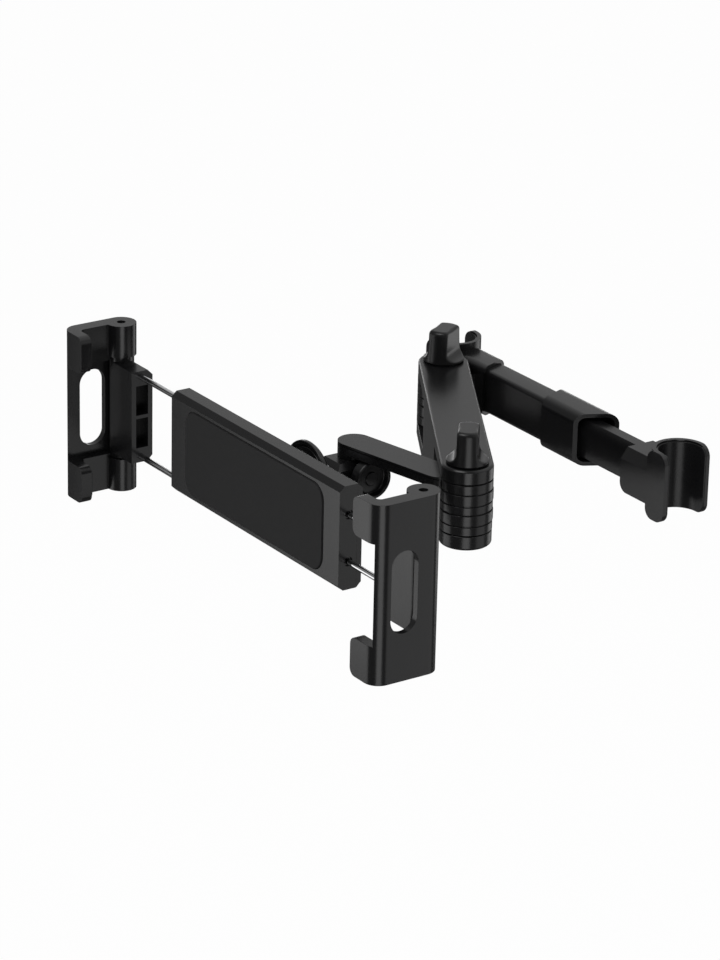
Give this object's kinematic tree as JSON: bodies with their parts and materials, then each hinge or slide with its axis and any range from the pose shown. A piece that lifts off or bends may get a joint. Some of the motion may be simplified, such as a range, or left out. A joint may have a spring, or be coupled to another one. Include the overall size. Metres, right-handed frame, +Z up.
{
  "type": "headrest tablet holder",
  "caption": "Headrest tablet holder: telescopic bar with post hooks, folding arm with wing knobs, ball joint, and a wide clamp on rods with folding jaws.",
  "frame": {"origin": "axis of the left headrest post, at the middle of the left hook's height", "axes": "+X along the bar to the right post, +Y towards the seat's front, +Z up along the posts"},
  "size_m": [0.2488, 0.1861, 0.0785],
  "materials": {
    "satin_plastic": "satin moulded",
    "knob_plastic": "satin moulded",
    "liner_rubber": "smooth matte",
    "pad_rubber": "matte",
    "rod_chrome": "polished",
    "steel": "turned",
    "nylon": "plain"
  },
  "bodies": {
    "bar": {"outer_tube": "satin_plastic", "tube_collar": "satin_plastic", "left_hook": "satin_plastic", "left_hook_liner": "liner_rubber"},
    "sliding_end": {"inner_tube": "satin_plastic", "right_hook": "satin_plastic", "right_hook_liner": "liner_rubber"},
    "upper_link": {"upper_arm": "satin_plastic", "back_hinge_bolt": "steel", "back_friction_ring": "nylon", "back_knob_washer": "steel", "front_hinge_bolt": "steel", "front_friction_ring": "nylon", "front_knob_washer": "steel"},
    "back_knob": {"back_wing_knob": "knob_plastic"},
    "front_knob": {"front_wing_knob": "knob_plastic"},
    "lower_link": {"lower_arm": "satin_plastic", "pan_screw": "steel"},
    "neck_block": {"neck": "satin_plastic", "ball_stud": "steel"},
    "side_clamp": {"side_knob": "knob_plastic"},
    "ball_cup": {"ball_seat": "nylon"},
    "holder": {"clamp_shell": "satin_plastic", "clamp_cover": "satin_plastic", "grip_pad": "pad_rubber", "cover_screws": "steel"},
    "nut": {"ring_nut": "satin_plastic"},
    "right_slider": {"right_carrier": "satin_plastic", "right_rods": "rod_chrome"},
    "right_fold": {"right_jaw": "satin_plastic", "right_hinge_pin": "steel", "right_jaw_pads": "pad_rubber"},
    "left_slider": {"left_carrier": "satin_plastic", "left_rods": "rod_chrome"},
    "left_fold": {"left_jaw": "satin_plastic", "left_hinge_pin": "steel", "left_jaw_pads": "pad_rubber"}
  },
  "joints": [
    {"name": "bar_extend", "type": "slide", "parent": "bar", "child": "sliding_end", "axis": [1, 0, 0], "range_m": [-0.025, 0.016]},
    {"name": "back_pivot", "type": "hinge", "parent": "bar", "child": "upper_link", "pos_m": [0.0195, -0.02, 0], "axis": [0, 0, 1], "range_deg": [-75, 28]},
    {"name": "front_pivot", "type": "hinge", "parent": "upper_link", "child": "lower_link", "pos_m": [0.128, -0.084, 0], "axis": [0, 0, 1], "range_deg": [-14, 75]},
    {"name": "neck_pan", "type": "hinge", "parent": "lower_link", "child": "neck_block", "pos_m": [0.06775, -0.1004, 0], "axis": [0, 0, -1], "range_deg": [-30, 60]},
    {"name": "back_knob_turn", "type": "hinge", "parent": "upper_link", "child": "back_knob", "pos_m": [0.0195, -0.02, 0.014], "axis": [0, 0, 1], "continuous": true},
    {"name": "front_knob_turn", "type": "hinge", "parent": "upper_link", "child": "front_knob", "pos_m": [0.128, -0.084, 0.014], "axis": [0, 0, 1], "continuous": true},
    {"name": "side_knob_turn", "type": "hinge", "parent": "neck_block", "child": "side_clamp", "pos_m": [0.07655, -0.1004, -0.0068], "axis": [1, 0, 0], "continuous": true},
    {"name": "ball_tilt", "type": "hinge", "parent": "neck_block", "child": "ball_cup", "pos_m": [0.06775, -0.126, -0.0055], "axis": [1, 0, 0], "range_deg": [-15, 15]},
    {"name": "ball_turn", "type": "hinge", "parent": "ball_cup", "child": "holder", "pos_m": [0.06775, -0.126, -0.0055], "axis": [0, 1, 0], "continuous": true},
    {"name": "ring_nut_turn", "type": "hinge", "parent": "holder", "child": "nut", "pos_m": [0.06775, -0.126, -0.0055], "axis": [0, 1, 0], "continuous": true},
    {"name": "right_clamp_slide", "type": "slide", "parent": "holder", "child": "right_slider", "axis": [-1, 0, 0], "range_m": [-0.015, 0.03]},
    {"name": "right_jaw_fold", "type": "hinge", "parent": "right_slider", "child": "right_fold", "pos_m": [0.18535, -0.1472, 0], "axis": [0, 0, 1], "range_deg": [-50, 0]},
    {"name": "left_clamp_slide", "type": "slide", "parent": "holder", "child": "left_slider", "axis": [1, 0, 0], "range_m": [-0.015, 0.03]},
    {"name": "left_jaw_fold", "type": "hinge", "parent": "left_slider", "child": "left_fold", "pos_m": [-0.04985, -0.1472, 0], "axis": [0, 0, -1], "range_deg": [-50, 0]}
  ]
}
